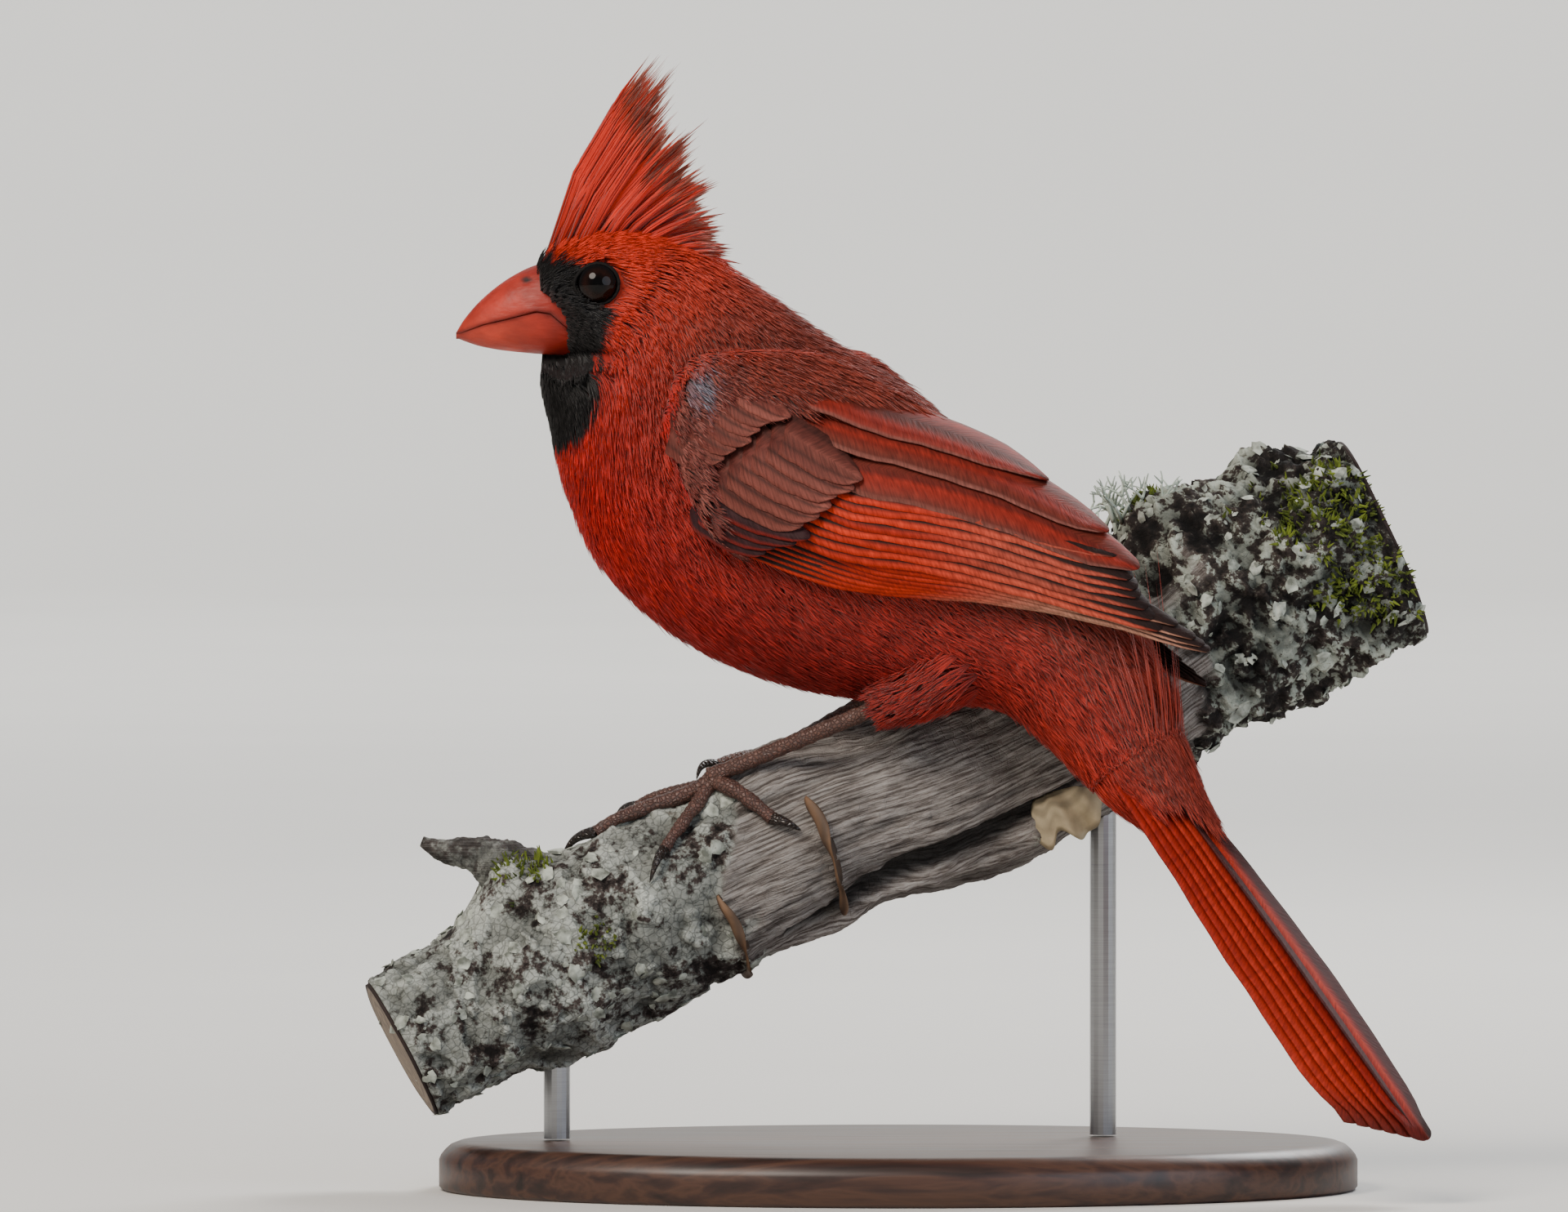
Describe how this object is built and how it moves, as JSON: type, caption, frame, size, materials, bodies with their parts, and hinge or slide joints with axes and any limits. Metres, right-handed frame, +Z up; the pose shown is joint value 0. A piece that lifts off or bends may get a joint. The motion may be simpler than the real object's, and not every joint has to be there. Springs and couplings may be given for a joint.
{
  "type": "perched male northern cardinal model",
  "caption": "Life-size model of a male northern cardinal with its crest raised, gripping a cut length of branch that two rods hold over an oval base.",
  "frame": {"origin": "middle of the base's underside", "axes": "+Z up, the bill points towards -X, the bird's left side and its tail are towards -Y"},
  "size_m": [0.1755, 0.098, 0.1864],
  "materials": {
    "red_plumage": "satin",
    "wing_plumage": "satin",
    "tail_plumage": "satin",
    "bill": "satin",
    "eye": "gloss",
    "scaled_skin": "satin",
    "weathered_wood": "matt",
    "base_wood": "satin",
    "rod_steel": "satin"
  },
  "bodies": {
    "root": {"head": "red_plumage", "crest": "red_plumage", "neck": "red_plumage", "torso": "red_plumage", "wing_left": "wing_plumage", "wing_right": "wing_plumage", "tail": "tail_plumage", "bill_upper": "bill", "bill_lower": "bill", "eye_left": "eye", "eye_right": "eye", "leg_left": "scaled_skin", "leg_right": "scaled_skin", "foot_left": "scaled_skin", "foot_right": "scaled_skin", "perch": "weathered_wood", "stand_base": "base_wood", "stand_rod_1": "rod_steel", "stand_rod_2": "rod_steel"}
  },
  "joints": []
}
